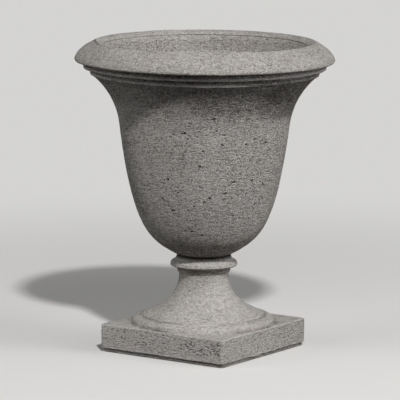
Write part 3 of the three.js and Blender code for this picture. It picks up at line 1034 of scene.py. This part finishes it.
steelFinish = {
    "blotches": (45, 5, 0.7),
    "colours": [(0.42, (0.055, 0.052, 0.050)), (0.6, (0.16, 0.066, 0.028))],  # mill scale and rust
    "roughness": (0.4, 0.62, 0.45, 0.9),
    "metal": (0.4, 0.62, 0.75, 0.0),
    "grain": (900, 2),
    "bump": (0.4, 0.2),
}
pipeFinish = {
    "stain": (30, 4, 0.6),
    "colours": [(0.45, (0.26, 0.27, 0.275)), (0.68, (0.17, 0.155, 0.135))],  # clean and stained
    "roughness": (0.4, 0.7, 0.38, 0.7),
    "drawnOut": 0.04,
    "lines": (700, 2),
    "bump": (0.3, 0.1),
}
padFinish = {
    "dust": (160, 4, 0.65),
    "colours": [(0.45, (0.022, 0.020, 0.019)), (0.75, (0.07, 0.065, 0.06))],  # rubber and dust
    "roughness": 0.8,
    "grain": (1200, 2),
    "bump": (0.4, 0.2),
}


def barSteel(name, s):
    material, tree, shader = newMaterial(name)
    place = onPiece(tree)
    blotches = noise(tree, place, *s["blotches"])
    tree.links.new(ramp(tree, blotches, s["colours"]), shader.inputs["Base Color"])
    tree.links.new(spread(tree, blotches, *s["roughness"]), shader.inputs["Roughness"])
    tree.links.new(spread(tree, blotches, *s["metal"]), shader.inputs["Metallic"])
    addBump(tree, shader, noise(tree, place, *s["grain"]), *s["bump"])
    return material


def pipePlastic(name, s):
    material, tree, shader = newMaterial(name)
    place = onPiece(tree)
    stain = noise(tree, place, *s["stain"])
    tree.links.new(ramp(tree, stain, s["colours"]), shader.inputs["Base Color"])
    tree.links.new(spread(tree, stain, *s["roughness"]), shader.inputs["Roughness"])
    drawn = stretched(tree, place, s["drawnOut"])
    addBump(tree, shader, noise(tree, drawn, *s["lines"]), *s["bump"])
    return material


def padRubber(name, s):
    material, tree, shader = newMaterial(name)
    place = onPiece(tree)
    dust = noise(tree, place, *s["dust"])
    tree.links.new(ramp(tree, dust, s["colours"]), shader.inputs["Base Color"])
    addBump(tree, shader, noise(tree, place, *s["grain"]), *s["bump"])
    shader.inputs["Roughness"].default_value = s["roughness"]
    return material


finishes = {
    "bar": barSteel("barSteel", steelFinish),
    "pipe": pipePlastic("pipePlastic", pipeFinish),
    "pad": padRubber("padRubber", padFinish),
}
for name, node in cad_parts.items():
    if name in ("bowl", "foot"):
        continue
    kind = "pipe" if "pipe" in name else "pad" if "pad" in name else "bar"
    node.data.materials.clear()
    node.data.materials.append(finishes[kind])
print("materials made")


# Floor, lamps and sky. A lamp is given by degrees right of the camera, degrees up, distance, size and watts.
studio = {
    "floorHalf": 60,
    "floorColour": (0.88, 0.87, 0.855),
    "floorRoughness": 0.9,
    "farColour": (0.66, 0.655, 0.645),
    "floorFade": (0.75, 2.6),
    "floorBounce": (0.04, 0.038, 0.036),
    "lamps": {
        "keyLamp": (11, 41, 14.0, 0.9, 1420),
        "leftFill": (-70, 20, 6.0, 4.0, 98),
        "rightFill": (70, 20, 6.0, 4.0, 172),
    },
    "lampAim": (0, 0, 0.4),
    "sky": 0.045,
}


def makeFloor(s):
    # near the urn it takes the shadow, further off it is one plain pale ground; other rays find it dark
    half = s["floorHalf"]
    mesh = bpy.data.meshes.new("studioFloor")
    corners = [(-half, -half, 0), (half, -half, 0), (half, half, 0), (-half, half, 0)]
    mesh.from_pydata(corners, [], [(0, 1, 2, 3)])
    floor = bpy.data.objects.new("studioFloor", mesh)
    scene.collection.objects.link(floor)
    material, tree, shader = newMaterial("studioFloor")
    shader.inputs["Base Color"].default_value = (*s["floorColour"], 1)
    shader.inputs["Roughness"].default_value = s["floorRoughness"]
    seen = addNode(tree, "ShaderNodeLightPath").outputs["Is Camera Ray"]
    reach = addNode(tree, "ShaderNodeVectorMath", {0: onPiece(tree)}, operation="LENGTH").outputs["Value"]
    fade = {"Value": reach, "From Min": s["floorFade"][0], "From Max": s["floorFade"][1]}
    far = addNode(tree, "ShaderNodeMapRange", fade, interpolation_type="SMOOTHSTEP").outputs[0]
    ground = addNode(tree, "ShaderNodeEmission", {"Color": (*s["farColour"], 1), "Strength": 1.0}).outputs[0]
    bounce = addNode(tree, "ShaderNodeBsdfDiffuse", {"Color": (*s["floorBounce"], 1)}).outputs[0]
    shown = addNode(tree, "ShaderNodeMixShader", {0: far, 1: shader.outputs[0], 2: ground}).outputs[0]
    both = addNode(tree, "ShaderNodeMixShader", {0: seen, 1: bounce, 2: shown}).outputs[0]
    output = [node for node in tree.nodes if node.type == "OUTPUT_MATERIAL"][0]
    tree.links.new(both, output.inputs["Surface"])
    mesh.materials.append(material)


def areaLamp(name, aim, azimuth, elevation, distance, size, power):
    data = bpy.data.lights.new(name, "AREA")
    data.shape = "DISK"
    data.size = size
    data.energy = power
    lamp = bpy.data.objects.new(name, data)
    scene.collection.objects.link(lamp)
    turn = math.radians(cameraSettings["azimuth"] + azimuth)
    rise = math.radians(elevation)
    back = Vector((math.sin(turn) * math.cos(rise), -math.cos(turn) * math.cos(rise), math.sin(rise)))
    lamp.location = Vector(aim) + back * distance
    lamp.rotation_euler = back.to_track_quat("Z", "Y").to_euler()


def makeSky(s):
    world = bpy.data.worlds.new("studioSky")
    scene.world = world
    world.use_nodes = True
    tree = world.node_tree
    tree.nodes.clear()
    background = addNode(tree, "ShaderNodeBackground", {"Strength": s["sky"]})
    output = tree.nodes.new("ShaderNodeOutputWorld")
    tree.links.new(background.outputs[0], output.inputs["Surface"])


makeFloor(studio)
for lampName, values in studio["lamps"].items():
    areaLamp(lampName, studio["lampAim"], *values)
makeSky(studio)
scene.view_settings.view_transform = "Standard"
print("studio lit")
